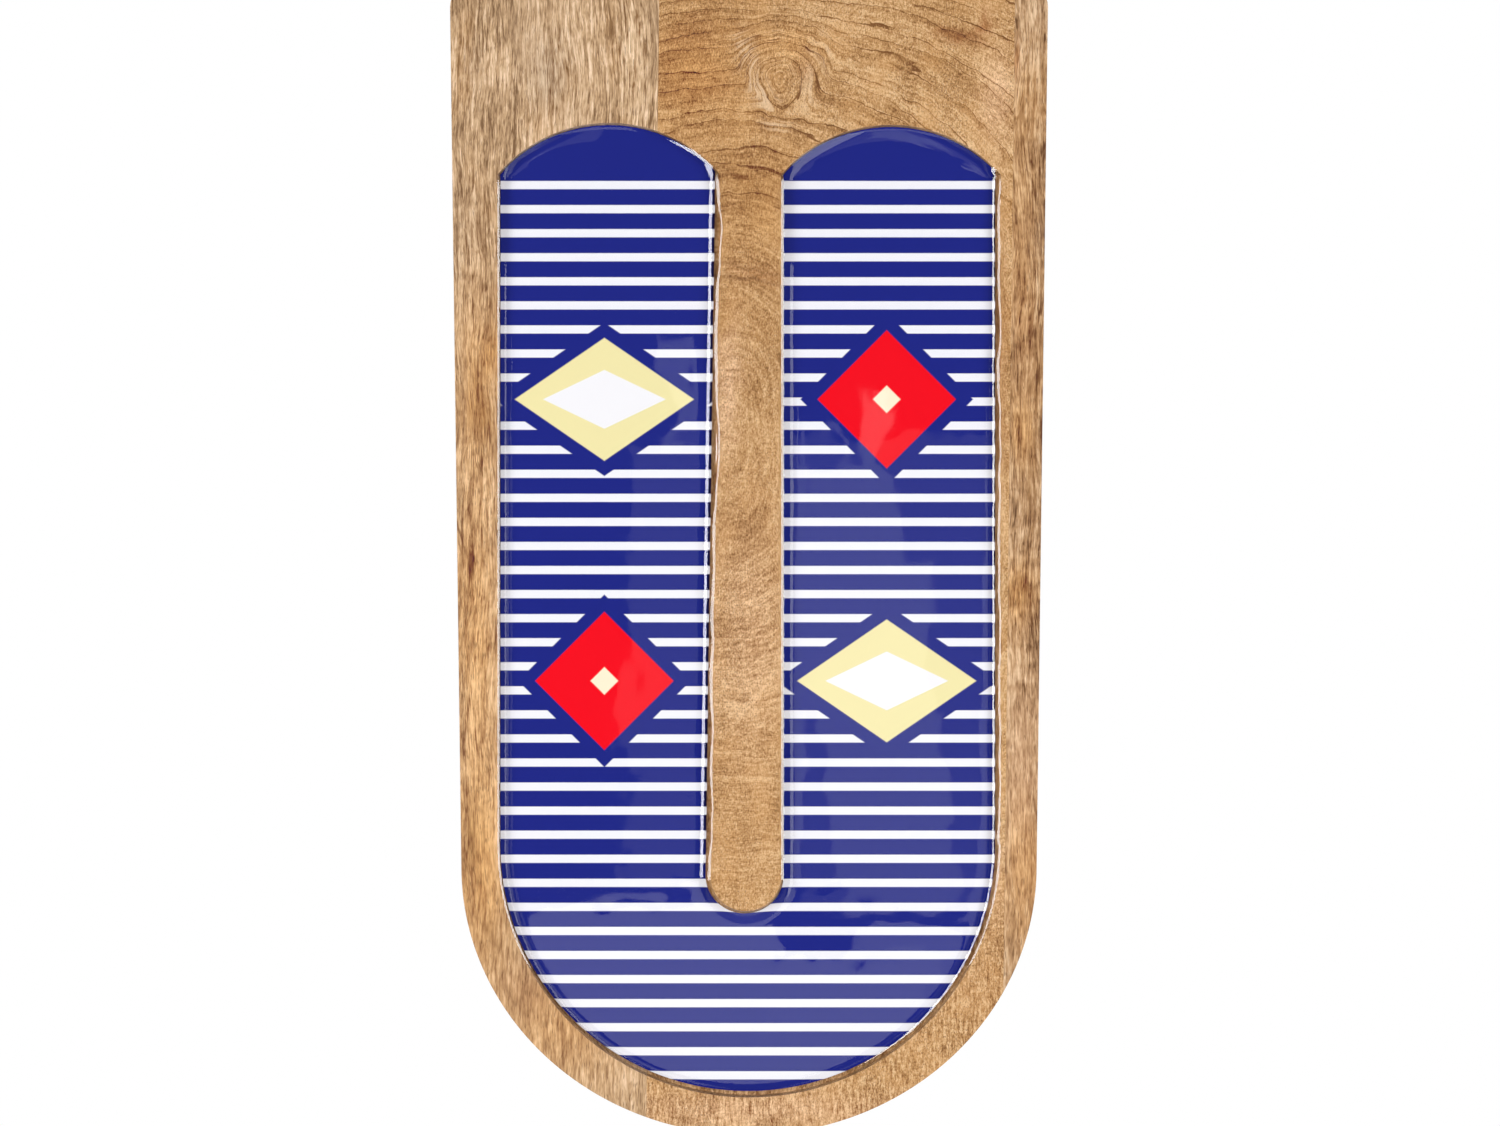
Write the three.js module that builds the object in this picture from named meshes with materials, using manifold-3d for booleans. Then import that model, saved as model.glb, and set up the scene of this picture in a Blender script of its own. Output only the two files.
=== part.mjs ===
// Wood wall plaque with a U-shaped recess, a printed panel in it and clear resin over the print.
// Millimetres, +Z up. The face looks along -Y, the back lies on the plane y = 0, +X is to the
// viewer's right, and the origin is on the back face at mid-height.
//
// Every outline is drawn in plan: x to the viewer's right, y up the plaque, z out of the wall.
// The last lines turn the plan upright.

import * as THREE from "three";
import { mergeVertices } from "three/addons/utils/BufferGeometryUtils.js";
import Module from "manifold-3d";

// Board outline
const LENGTH = 450;
const WIDTH_TOP = 233.2;
const WIDTH_FOOT = 224.4;
const THICKNESS = 20;
const TOP_CORNER_RADIUS = 10;
const FOOT_RISE = 104.6; // height of the rounded lower end
const EDGE_EASE = 1.2; // rounding along the front and back edges

// Glue joints between the staves, both at the same small slant
const JOINT_SLANT = 0.0117; // sideways run for each unit of height
const LEFT_JOINT_X = -37.6; // at mid-height
const RIGHT_JOINT_X = 101.2;
const SOLID_GAP = 0.3; // between solids that touch

// U-shaped recess
const RECESS_HALF_WIDTH = 98.1;
const RECESS_DEPTH = 5;
const BEND_CENTRE_Y = -112.2; // where the straight outer sides end
const BEND_DROP = 98.2; // from there down to the lowest point of the recess
const SHOULDER_Y = 149.6; // where the arms' rounded tops start
const ARM_TOP_RADIUS = 57;

// Tongue of wood between the arms, a little wider at its rounded foot than at the shoulders
const TONGUE_LEFT_SHOULDER_X = -11.2;
const TONGUE_LEFT_FOOT_X = -15;
const TONGUE_RIGHT_X = 12.5;
const TONGUE_FOOT_Y = -124; // where the rounded foot starts

// The two arms of the recess at their shoulders
const LEFT_ARM = { left: -RECESS_HALF_WIDTH, right: TONGUE_LEFT_SHOULDER_X };
const RIGHT_ARM = { left: TONGUE_RIGHT_X, right: RECESS_HALF_WIDTH };

// Print and resin
const PRINT_THICKNESS = 0.7;
const PRINT_INSETS = { left: 0.5, right: 1.7, top: 0.3, bend: 2 }; // from the recess's walls
const RESIN_DROP = 1.3; // from the board's face down to the resin

// Keyhole slot in the back, for the head of a screw in the wall
const KEYHOLE_ENTRY_Y = 190;
const KEYHOLE_TOP_Y = 204;
const KEYHOLE_HEAD_RADIUS = 5.2;
const KEYHOLE_NECK_RADIUS = 2.7;
const KEYHOLE_NECK_DEPTH = 4;
const KEYHOLE_DEPTH = 9.5;

// Smoothness of the curves
const CURVE_STEPS = 20;
const OVERSHOOT = 5; // how far a cutting solid runs past what it cuts
const OVERLAP = 0.5; // between solids that are joined

const wasm = await Module();
wasm.setup();

const WOOD_STRAIGHT = { color: 0xca9f78, roughness: 0.6, metalness: 0 };
const WOOD_FLAT_SAWN = { color: 0xc4966a, roughness: 0.6, metalness: 0 };
const WOOD_STREAKED = { color: 0xb98c64, roughness: 0.6, metalness: 0 };
const PRINT_BLUE = { color: 0x262c8c, roughness: 0.5, metalness: 0 };
const CLEAR_RESIN = { color: 0xf4f6fa, roughness: 0.05, metalness: 0, transparent: true, opacity: 0.25 };

// A solid for joining and cutting, from a closed three.js geometry.
function solidOf(geometry) {
  const bare = geometry.clone();
  bare.deleteAttribute("normal");
  bare.deleteAttribute("uv");
  const merged = mergeVertices(bare, 1e-4);
  const mesh = new wasm.Mesh({
    numProp: 3,
    vertProperties: new Float32Array(merged.attributes.position.array),
    triVerts: new Uint32Array(merged.index.array),
  });
  return new wasm.Manifold(mesh);
}

// A three.js geometry from a solid.
function geometryOf(solid) {
  const mesh = solid.getMesh();
  const geometry = new THREE.BufferGeometry();
  geometry.setAttribute("position", new THREE.BufferAttribute(new Float32Array(mesh.vertProperties), 3));
  geometry.setIndex(new THREE.BufferAttribute(new Uint32Array(mesh.triVerts), 1));
  geometry.computeVertexNormals();
  return geometry;
}

// A straight slab of an outline, from one height off the wall to another.
function slab(shape, low, high) {
  const geometry = new THREE.ExtrudeGeometry(shape, {
    depth: high - low,
    bevelEnabled: false,
    curveSegments: CURVE_STEPS,
  });
  geometry.translate(0, 0, low);
  return solidOf(geometry);
}

// The board's outline: straight top, sides that draw in a little, half an ellipse at the foot.
function boardOutline() {
  const halfTop = WIDTH_TOP / 2;
  const halfFoot = WIDTH_FOOT / 2;
  const top = LENGTH / 2;
  const footStart = FOOT_RISE - LENGTH / 2;
  const radius = TOP_CORNER_RADIUS;
  const shape = new THREE.Shape();
  shape.moveTo(halfTop - radius, top);
  shape.lineTo(radius - halfTop, top);
  shape.quadraticCurveTo(-halfTop, top, -halfTop, top - radius);
  shape.lineTo(-halfFoot, footStart);
  shape.absellipse(0, footStart, halfFoot, FOOT_RISE, Math.PI, 2 * Math.PI, false, 0);
  shape.lineTo(halfTop, top - radius);
  shape.quadraticCurveTo(halfTop, top, halfTop - radius, top);
  return shape;
}

// The whole board with eased front and back edges.
function board() {
  const geometry = new THREE.ExtrudeGeometry(boardOutline(), {
    depth: THICKNESS - 2 * EDGE_EASE,
    bevelEnabled: true,
    bevelThickness: EDGE_EASE,
    bevelSize: EDGE_EASE,
    bevelOffset: -EDGE_EASE,
    bevelSegments: 2,
    curveSegments: CURVE_STEPS,
  });
  geometry.translate(0, 0, EDGE_EASE);
  return solidOf(geometry);
}

// One arm's rounded top, from its right side to its left. It runs along the recess's own arc,
// drawn in by the inset, so that a narrower arm still ends close to the wood.
function armTop(shape, arm, left, right, inset) {
  const centre = (arm.left + arm.right) / 2;
  const half = (arm.right - arm.left) / 2;
  const centreY = SHOULDER_Y - Math.sqrt(ARM_TOP_RADIUS ** 2 - half ** 2);
  const radius = ARM_TOP_RADIUS - inset;
  const start = Math.acos((right - centre) / radius);
  const end = Math.acos((left - centre) / radius);
  shape.absarc(centre, centreY, radius, start, end, false);
}

// The U outline, drawn in by its own inset on the walls that face right, on those that face
// left, at the tops and at the bend.
function recessOutline({ left, right, top, bend }) {
  const outerLeft = left - RECESS_HALF_WIDTH;
  const outerRight = RECESS_HALF_WIDTH - right;
  const bendCentre = (outerLeft + outerRight) / 2;
  const bendHalf = (outerRight - outerLeft) / 2;
  const bendDrop = BEND_DROP - bend;
  const innerLeftShoulder = TONGUE_LEFT_SHOULDER_X - right;
  const innerLeftFoot = TONGUE_LEFT_FOOT_X - right;
  const innerRight = TONGUE_RIGHT_X + left;
  const footCentre = (innerLeftFoot + innerRight) / 2;
  const footHalf = (innerRight - innerLeftFoot) / 2;
  const footDrop = (TONGUE_RIGHT_X - TONGUE_LEFT_FOOT_X) / 2 + left;
  const shape = new THREE.Shape();
  shape.moveTo(outerLeft, BEND_CENTRE_Y);
  shape.absellipse(bendCentre, BEND_CENTRE_Y, bendHalf, bendDrop, Math.PI, 2 * Math.PI, false, 0);
  armTop(shape, RIGHT_ARM, innerRight, outerRight, top);
  shape.lineTo(innerRight, TONGUE_FOOT_Y);
  shape.absellipse(footCentre, TONGUE_FOOT_Y, footHalf, footDrop, 0, Math.PI, true, 0);
  armTop(shape, LEFT_ARM, outerLeft, innerLeftShoulder, top);
  shape.closePath();
  return shape;
}

// The same inset on every wall.
function evenInsets(inset) {
  return { left: inset, right: inset, top: inset, bend: inset };
}

// The keyhole slot: an entry hole, a narrow neck up from it, and a wider way for the head behind.
function keyhole() {
  const entry = new THREE.Shape();
  entry.absarc(0, KEYHOLE_ENTRY_Y, KEYHOLE_HEAD_RADIUS, 0, 2 * Math.PI, false);
  const neck = slotOutline(KEYHOLE_NECK_RADIUS);
  const head = slotOutline(KEYHOLE_HEAD_RADIUS);
  return slab(entry, -OVERSHOOT, KEYHOLE_DEPTH)
    .add(slab(neck, -OVERSHOOT, KEYHOLE_NECK_DEPTH + OVERLAP))
    .add(slab(head, KEYHOLE_NECK_DEPTH, KEYHOLE_DEPTH));
}

// An upright slot with round ends, from the keyhole's entry to its top.
function slotOutline(radius) {
  const shape = new THREE.Shape();
  shape.absarc(0, KEYHOLE_TOP_Y, radius, 0, Math.PI, false);
  shape.absarc(0, KEYHOLE_ENTRY_Y, radius, Math.PI, 2 * Math.PI, false);
  shape.closePath();
  return shape;
}

// The stretch of the board between two glue joints.
function staveStrip(leftX, rightX) {
  const reach = LENGTH;
  const shape = new THREE.Shape();
  shape.moveTo(leftX - JOINT_SLANT * reach, -reach);
  shape.lineTo(rightX - JOINT_SLANT * reach, -reach);
  shape.lineTo(rightX + JOINT_SLANT * reach, reach);
  shape.lineTo(leftX + JOINT_SLANT * reach, reach);
  shape.closePath();
  return slab(shape, -OVERSHOOT, THICKNESS + OVERSHOOT);
}

function namedMesh(name, geometry, finish) {
  const mesh = new THREE.Mesh(geometry, new THREE.MeshStandardMaterial(finish));
  mesh.name = name;
  return mesh;
}

const recessFloor = THICKNESS - RECESS_DEPTH;
const recess = slab(recessOutline(evenInsets(0)), recessFloor, THICKNESS + OVERSHOOT);
const carvedBoard = board().subtract(recess).subtract(keyhole());
const halfGap = SOLID_GAP / 2;

const leftStave = carvedBoard.intersect(staveStrip(-LENGTH, LEFT_JOINT_X - halfGap));
const centreStave = carvedBoard.intersect(staveStrip(LEFT_JOINT_X + halfGap, RIGHT_JOINT_X - halfGap));
const rightStave = carvedBoard.intersect(staveStrip(RIGHT_JOINT_X + halfGap, LENGTH));

const printBack = recessFloor + SOLID_GAP;
const printFace = printBack + PRINT_THICKNESS;
const print = slab(recessOutline(PRINT_INSETS), printBack, printFace);

const resinBack = printFace + SOLID_GAP;
const resinFace = THICKNESS - RESIN_DROP;
const resin = slab(recessOutline(evenInsets(SOLID_GAP)), resinBack, resinFace);

const plaque = new THREE.Group();
plaque.add(namedMesh("left_stave", geometryOf(leftStave), WOOD_STRAIGHT));
plaque.add(namedMesh("centre_stave", geometryOf(centreStave), WOOD_FLAT_SAWN));
plaque.add(namedMesh("right_stave", geometryOf(rightStave), WOOD_STREAKED));
plaque.add(namedMesh("printed_panel", geometryOf(print), PRINT_BLUE));
plaque.add(namedMesh("resin_coat", geometryOf(resin), CLEAR_RESIN));
plaque.rotation.x = Math.PI / 2;

const part = new THREE.Group();
part.add(plaque);

export default part;
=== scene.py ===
"""Wood wall plaque with a U-shaped inlay: three glued staves, a printed panel and clear resin.

Metres, +Z up. The face looks along -Y, the back lies on y = 0 and +X is to the viewer's right.
"""

import math

import bmesh
import bpy
from bpy.props import FloatProperty, FloatVectorProperty, IntProperty, PointerProperty
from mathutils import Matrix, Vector, kdtree, noise


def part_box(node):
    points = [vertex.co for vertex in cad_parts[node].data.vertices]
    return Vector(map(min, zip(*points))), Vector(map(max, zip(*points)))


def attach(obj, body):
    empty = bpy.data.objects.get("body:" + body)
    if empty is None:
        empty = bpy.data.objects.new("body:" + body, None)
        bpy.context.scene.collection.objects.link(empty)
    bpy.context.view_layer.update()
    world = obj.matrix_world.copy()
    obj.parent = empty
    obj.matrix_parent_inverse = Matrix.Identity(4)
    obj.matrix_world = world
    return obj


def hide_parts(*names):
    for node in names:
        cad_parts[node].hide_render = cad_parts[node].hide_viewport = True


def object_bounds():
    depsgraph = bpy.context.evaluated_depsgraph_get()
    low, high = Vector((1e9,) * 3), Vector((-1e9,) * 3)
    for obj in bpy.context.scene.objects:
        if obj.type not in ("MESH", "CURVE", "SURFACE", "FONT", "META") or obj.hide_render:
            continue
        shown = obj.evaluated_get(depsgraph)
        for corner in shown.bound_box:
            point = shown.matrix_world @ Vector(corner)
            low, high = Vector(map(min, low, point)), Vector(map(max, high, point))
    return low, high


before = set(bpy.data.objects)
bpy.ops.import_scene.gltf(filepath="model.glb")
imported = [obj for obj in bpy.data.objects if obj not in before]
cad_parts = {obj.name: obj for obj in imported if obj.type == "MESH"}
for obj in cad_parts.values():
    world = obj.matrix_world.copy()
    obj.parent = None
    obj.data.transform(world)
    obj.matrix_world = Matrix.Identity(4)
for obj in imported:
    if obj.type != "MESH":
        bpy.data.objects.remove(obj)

bl_info = {
    "name": "Inlaid Wood Plaque",
    "version": (1, 0, 0),
    "blender": (4, 5, 0),
    "location": "View3D > Sidebar > Plaque",
    "description": "Builds a glued-up wood plaque with a printed panel under clear resin",
    "category": "Object",
}

MM = 0.001
CAD_LOW, CAD_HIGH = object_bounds()
PANEL_LOW, PANEL_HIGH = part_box("printed_panel")
RESIN_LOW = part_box("resin_coat")[0]

FACE_Y = CAD_LOW.y
BACK_Y = CAD_HIGH.y
BODY = "root"


def length(name, text, default):
    """A size in metres with its unit."""
    return FloatProperty(name=name, description=text, default=default, unit="LENGTH", precision=4)


def colour(name, text, default):
    """A linear colour."""
    return FloatVectorProperty(
        name=name, description=text, default=default, subtype="COLOR", size=3, min=0.0, max=1.0
    )


def number(name, text, default):
    """A plain factor."""
    return FloatProperty(name=name, description=text, default=default, precision=4)


def count(name, text, default):
    """A whole number."""
    return IntProperty(name=name, description=text, default=default, min=1)


class BoardSettings(bpy.types.PropertyGroup):
    """Sizes of the board, its recess and its keyhole."""

    half_top: length("Half width at top", "From the centre line to the side", CAD_HIGH.x)
    half_foot: length("Half width at foot", "Where the rounded end starts", 112.2 * MM)
    foot_rise: length("Foot rise", "Height of the rounded lower end", 104.6 * MM)
    corner: length("Top corner", "Radius of the top corners", 10 * MM)
    edge_round: length("Edge rounding", "Radius along the front and back edges", 1.2 * MM)
    mouth_round: length("Mouth rounding", "Radius along the recess's edge", 0.4 * MM)
    joint_slant: number("Joint slant", "Sideways run of a glue joint for each unit up", 0.0117)
    left_joint: length("Left joint", "Where it crosses mid-height", -37.6 * MM)
    right_joint: length("Right joint", "Where it crosses mid-height", 101.2 * MM)
    mouth_wobble: length("Mouth wobble", "How far the right-hand walls wander", 0.45 * MM)
    glue_line: length("Glue line", "Gap left between two staves", 0.04 * MM)
    recess_half: length("Recess half width", "From the centre line to its outer sides", 98.1 * MM)
    recess_depth: length("Recess depth", "From the face to the recess's floor", 5 * MM)
    bend_start: length("Bend start", "Height where the straight outer sides end", -112.2 * MM)
    bend_drop: length("Bend drop", "From there to the lowest point of the U", 98.2 * MM)
    shoulder: length("Shoulder", "Height where the arms' rounded tops start", 149.6 * MM)
    arm_top: length("Arm top radius", "Radius of the arms' rounded tops", 57 * MM)
    tongue_left_top: length("Tongue left, top", "Its left side at the shoulder", -11.2 * MM)
    tongue_left_foot: length("Tongue left, foot", "Its left side at its foot", -15 * MM)
    tongue_right: length("Tongue right", "Its right side", 12.5 * MM)
    tongue_foot: length("Tongue foot", "Height where its rounded foot starts", -124 * MM)
    keyhole_entry: length("Keyhole entry", "Height of the entry hole", 190 * MM)
    keyhole_top: length("Keyhole top", "Height of the slot's upper centre", 204 * MM)
    keyhole_head: length("Keyhole head", "Radius that lets the screw's head in", 5.2 * MM)
    keyhole_neck: length("Keyhole neck", "Half width of the slot", 2.7 * MM)
    keyhole_lip: length("Keyhole lip", "Thickness of wood that the head hooks behind", 4 * MM)
    keyhole_depth: length("Keyhole depth", "How deep the way for the head is", 9.5 * MM)


class WoodSettings(bpy.types.PropertyGroup):
    """Colours of the wood."""

    straight_dark: colour("Straight, dark", "Dark fibres of the left stave", (0.18, 0.09, 0.034))
    straight_mid: colour("Straight, middle", "Main tone of the left stave", (0.515, 0.325, 0.17))
    straight_light: colour("Straight, light", "Light fibres of the left stave", (0.863, 0.633, 0.432))
    flat_dark: colour("Flat-sawn, dark", "Dark growth of the centre stave", (0.156, 0.052, 0.007))
    flat_mid: colour("Flat-sawn, middle", "Main tone of the centre stave", (0.465, 0.247, 0.088))
    flat_light: colour("Flat-sawn, light", "Light growth of the centre stave", (0.75, 0.50, 0.27))
    streaked_dark: colour("Streaked, dark", "Dark fibres of the right stave", (0.103, 0.037, 0.006))
    streaked_mid: colour("Streaked, middle", "Main tone of the right stave", (0.432, 0.247, 0.115))
    streaked_light: colour("Streaked, light", "Light fibres of the right stave", (0.809, 0.582, 0.372))
    gold: colour("Gold", "Golden tint", (0.539, 0.266, 0.081))
    rose: colour("Rose", "Pinkish tint", (0.607, 0.362, 0.207))
    russet: colour("Russet", "Reddish brown tint", (0.308, 0.115, 0.029))
    umber: colour("Umber", "Dark golden brown tint", (0.26, 0.115, 0.028))
    grey: colour("Grey", "Greyish tint", (0.382, 0.251, 0.15))
    cream: colour("Cream", "Pale tint", (0.714, 0.498, 0.308))
    pore: colour("Pores", "Open pores", (0.12, 0.048, 0.012))


class PrintSettings(bpy.types.PropertyGroup):
    """Sizes and colours of the printed panel."""

    thickness: length("Thickness", "Thickness of the printed sheet", PANEL_HIGH.y - PANEL_LOW.y)
    left_gap: length("Left gap", "Between the sheet and the left-hand walls", 0.5 * MM)
    right_gap: length("Right gap", "Between the sheet and the right-hand walls", 1.7 * MM)
    top_gap: length("Top gap", "Between the sheet and the tops of the arms", 0.3 * MM)
    bend_gap: length("Bend gap", "Between the sheet and the bottom of the bend", 2 * MM)
    ground: colour("Ground", "Ultramarine ground", (0.011, 0.017, 0.20))
    shade: colour("Shade", "Ground in the shade of the right-hand walls", (0.011, 0.008, 0.035))
    stripe: colour("Stripes", "Off-white stripes", (0.80, 0.80, 0.853))
    yellow: colour("Yellow", "Pale yellow lozenges", (0.79, 0.71, 0.37))
    white: colour("White", "White hearts of the lozenges", (0.82, 0.81, 0.84))
    red: colour("Red", "Red lozenges", (0.806, 0.003, 0.012))
    cream: colour("Cream", "Cream hearts of the red lozenges", (0.88, 0.77, 0.57))
    stripe_pitch: length("Stripe pitch", "From one stripe to the next", 9.4 * MM)
    stripe_width: length("Stripe width", "Height of one stripe", 3.2 * MM)


class ResinSettings(bpy.types.PropertyGroup):
    """Surface of the clear resin."""

    level: length("Level", "From the board's face down to the resin", RESIN_LOW.y - FACE_Y)
    rim_slope: number("Rim slope", "Rise for each unit towards the wall where the rim starts", 0.44)
    wall_slope: number("Wall slope", "Rise for each unit towards the wall right at it", 0.62)
    rim_width: length("Rim width", "Width of the steep rim", 1.1 * MM)
    climb_reach: length("Climb reach", "Distance over which the climb dies away", 1.6 * MM)
    top_slope: number("Top slope", "Rise for each unit at the arms' rounded tops", 0.3)
    top_reach: length("Top reach", "Distance over which the climb at the tops dies away", 4.2 * MM)
    overlap: length("Overlap", "How far the resin reaches into the walls", 0.02 * MM)
    wave: length("Wave", "Height of the surface's slow waves", 0.045 * MM)
    wave_size: length("Wave size", "Width of one slow wave", 22 * MM)
    ripple: length("Ripple", "Height of the surface's small ripples", 0.013 * MM)
    ripple_size: length("Ripple size", "Width of one ripple", 7 * MM)
    ior: number("Refraction", "Index of refraction", 1.5)
    roughness: number("Roughness", "Roughness of the surface", 0.02)


class StageSettings(bpy.types.PropertyGroup):
    """Camera, floor and lights."""

    photo_width: count("Picture width", "In pixels", 1500)
    photo_height: count("Picture height", "In pixels", 1126)
    pixel: length("Pixel", "Real size of one picture pixel at the board's face", 0.39 * MM)
    origin_column: number("Origin column", "Picture column of x = 0", 749.0)
    origin_row: number("Origin row", "Picture row of z = 0", 558.0)
    distance: length("Distance", "From the board's face to the camera", 1.8)
    floor_drop: length("Floor drop", "From the plaque's lowest point to the floor", 1.2)
    floor_half: length("Floor half size", "Half the side of the floor", 2.2)
    floor_colour: colour("Floor", "Pale floor", (0.82, 0.82, 0.82))


SETTINGS = {
    "plaque_board": BoardSettings,
    "plaque_wood": WoodSettings,
    "plaque_print": PrintSettings,
    "plaque_resin": ResinSettings,
    "plaque_stage": StageSettings,
}


# Outlines, as points (x, z) in order round the shape

# Spacing of points away from a wall: the first step, and how much the steps grow with distance
RIM_STEP = 0.2 * MM
RIM_GROWTH = 0.10

# Points along the curves of the board and of the keyhole slot
CORNER_STEPS = 8
FOOT_STEPS = 120
SLOT_TOP_STEPS = 16
SLOT_FOOT_STEPS = 24

# Fineness of the U's outline: spacing down the arms, steps round the bend and steps across an end
MOUTH_STEPS = (2.5 * MM, 120, 32)
WALL_MEASURE_STEPS = (1 * MM, 400, 120)
MOUTH_MEASURE_STEPS = (0.5 * MM, 400, 120)

# Where the mouth's edge bulges into the tongue's left side: height, reach and size
TONGUE_BULGES = (
    (126 * MM, 9 * MM, 0.8 * MM),
    (44 * MM, 15 * MM, 1.3 * MM),
    (-104 * MM, 16 * MM, 0.5 * MM),
)


def arc(centre, radii, start, end, steps):
    """Points along an ellipse's arc, both ends included."""
    turns = [start + (end - start) * i / steps for i in range(steps + 1)]
    return [(centre[0] + radii[0] * math.cos(t), centre[1] + radii[1] * math.sin(t)) for t in turns]


def board_outline(board):
    """Straight top, sides that draw in a little, half an ellipse at the foot."""
    top = CAD_HIGH.z
    foot = CAD_LOW.z + board.foot_rise
    corner = (board.corner, board.corner)
    corner_x = board.half_top - board.corner
    points = arc((corner_x, top - board.corner), corner, 0, math.pi / 2, CORNER_STEPS)
    points += arc((-corner_x, top - board.corner), corner, math.pi / 2, math.pi, CORNER_STEPS)
    bottom = (board.half_foot, board.foot_rise)
    return points + arc((0, foot), bottom, math.pi, 2 * math.pi, FOOT_STEPS)


def slot_outline(bottom, top, low_radius, high_radius):
    """An upright slot with a round end at each centre height."""
    past = math.pi / 2 - math.asin(min(1.0, high_radius / low_radius))
    points = arc((0, top), (high_radius, high_radius), 0, math.pi, SLOT_TOP_STEPS)
    start, end = math.pi - past, 2 * math.pi + past
    return points + arc((0, bottom), (low_radius, low_radius), start, end, SLOT_FOOT_STEPS)


def crowded(spacing, reach):
    """Shares of a distance from 0 to 1 that are crowded near its start, for the resin's rim."""
    steps = [0.0]
    while steps[-1] < reach - spacing / 2:
        gap = min(spacing, RIM_STEP + steps[-1] * RIM_GROWTH)
        steps.append(steps[-1] + gap)
    return [step / steps[-1] for step in steps]


def on_bend(left, right, level, drop, turn):
    """A point of the half ellipse that joins two upright sides below a level."""
    half = (right - left) / 2
    return ((left + right) / 2 + half * math.cos(turn), level + drop * math.sin(turn))


class Channel:
    """The U-shaped recess as a strip: u runs from the left arm's top round the bend to the right
    arm's top, and v runs across it from the tongue's side to the outer side."""

    arch_reach = 70 * MM
    wobble_size = 9 * MM
    wobble_reach = 3 * MM
    slow_rate = 0.45
    slow_share = 1.3
    quick_share = 0.7

    def __init__(self, board, left=0.0, right=0.0, top=0.0, bend=0.0, wobble=0.0):
        self.outer_left = left - board.recess_half
        self.outer_right = board.recess_half - right
        self.inner_left_top = board.tongue_left_top - right
        self.inner_left_foot = board.tongue_left_foot - right
        self.inner_right = board.tongue_right + left
        self.shoulder = board.shoulder
        self.arms = {
            "left": (-board.recess_half, board.tongue_left_top),
            "right": (board.tongue_right, board.recess_half),
        }
        self.arm_top = board.arm_top
        self.top_gap = top
        self.tongue_foot = board.tongue_foot
        self.foot_drop = (board.tongue_right - board.tongue_left_foot) / 2 + left
        self.bend_start = board.bend_start
        self.bend_drop = board.bend_drop - bend
        self.wobble = wobble

    def arch(self, x, arm, height):
        """How far the arm's rounded top lifts a rung that lies at this height. The top runs along
        the recess's own arc, drawn in by the gap."""
        left, right = self.arms[arm]
        half = (right - left) / 2
        offset = min(abs(x - (left + right) / 2), half)
        lift = math.sqrt((self.arm_top - self.top_gap) ** 2 - offset ** 2)
        lift -= math.sqrt(self.arm_top ** 2 - half ** 2)
        fade = max(0.0, 1 - (self.shoulder - height) / self.arch_reach)
        return lift * fade * fade

    def apex_share(self, x):
        """1 below the apex of an arm's rounded top, and less towards its corners."""
        left, right = self.arms["right" if x > 0 else "left"]
        offset = (x - (left + right) / 2) / self.arm_top
        return 1 - offset * offset

    def wander(self, x, z, bulges=()):
        """How far the hand-finished wall strays sideways."""
        if not self.wobble:
            return 0.0
        place = Vector((x, 0, z)) / self.wobble_size
        slow = noise.noise(place * self.slow_rate + Vector((0, 4, 0)))
        quick = noise.noise(place)
        stray = self.wobble * (self.slow_share * slow + self.quick_share * quick)
        for height, reach, size in bulges:
            stray += size * math.exp(-((z - height) / reach) ** 2)
        return stray

    def sides(self, stage, k):
        """The rung's inner and outer ends before the arms' rounded tops."""
        if stage == "bend":
            turn = math.pi * (1 + k)
            foot = (self.inner_left_foot, self.inner_right, self.tongue_foot, self.foot_drop)
            bend = (self.outer_left, self.outer_right, self.bend_start, self.bend_drop)
            return on_bend(*foot, turn), on_bend(*bend, turn)
        inner_z = self.shoulder + (self.tongue_foot - self.shoulder) * k
        outer_z = self.shoulder + (self.bend_start - self.shoulder) * k
        if stage == "right":
            return (self.inner_right, inner_z), (self.outer_right, outer_z)
        inner_x = self.inner_left_top + (self.inner_left_foot - self.inner_left_top) * k
        return (inner_x, inner_z), (self.outer_left, outer_z)

    def point(self, rung, v):
        """The place of a rung's point."""
        stage, k = rung
        (inner_x, inner_z), (outer_x, outer_z) = self.sides(stage, k)
        x = inner_x + (outer_x - inner_x) * v
        z = inner_z + (outer_z - inner_z) * v
        across = abs(outer_x - inner_x)
        if stage == "left":
            stray = self.wander(inner_x, inner_z, TONGUE_BULGES)
            x += stray * max(0.0, 1 - v * across / self.wobble_reach)
        elif stage == "right":
            x += self.wander(outer_x, outer_z) * max(0.0, 1 - (1 - v) * across / self.wobble_reach)
        if stage != "bend":
            z += self.arch(x, stage, z)
        return x, z

    def rungs(self, spacing, bend_steps):
        """Every rung as (stage, k), closest together at the tops of the arms."""
        reach = self.shoulder - self.tongue_foot
        arm = crowded(spacing, reach)[:-1]
        left = [("left", k) for k in arm]
        bend = [("bend", i / bend_steps) for i in range(bend_steps + 1)]
        right = [("right", k) for k in reversed(arm)]
        return left + bend + right

    def outline(self, spacing, bend_steps, end_steps):
        """The closed outline of the strip."""
        rungs = self.rungs(spacing, bend_steps)
        outer = [self.point(rung, 1.0) for rung in rungs]
        inner = [self.point(rung, 0.0) for rung in reversed(rungs)]
        right_end = [self.point(rungs[-1], 1 - i / end_steps) for i in range(1, end_steps)]
        left_end = [self.point(rungs[0], i / end_steps) for i in range(1, end_steps)]
        return outer + right_end + inner + left_end


# Mesh helpers

# Facets across a rounded edge, and the angles above which an edge between faces stays sharp
EDGE_SEGMENTS = 4
MOUTH_SEGMENTS = 3
SHARP_ANGLE = math.radians(40)
RESIN_SHARP_ANGLE = math.radians(50)


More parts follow.
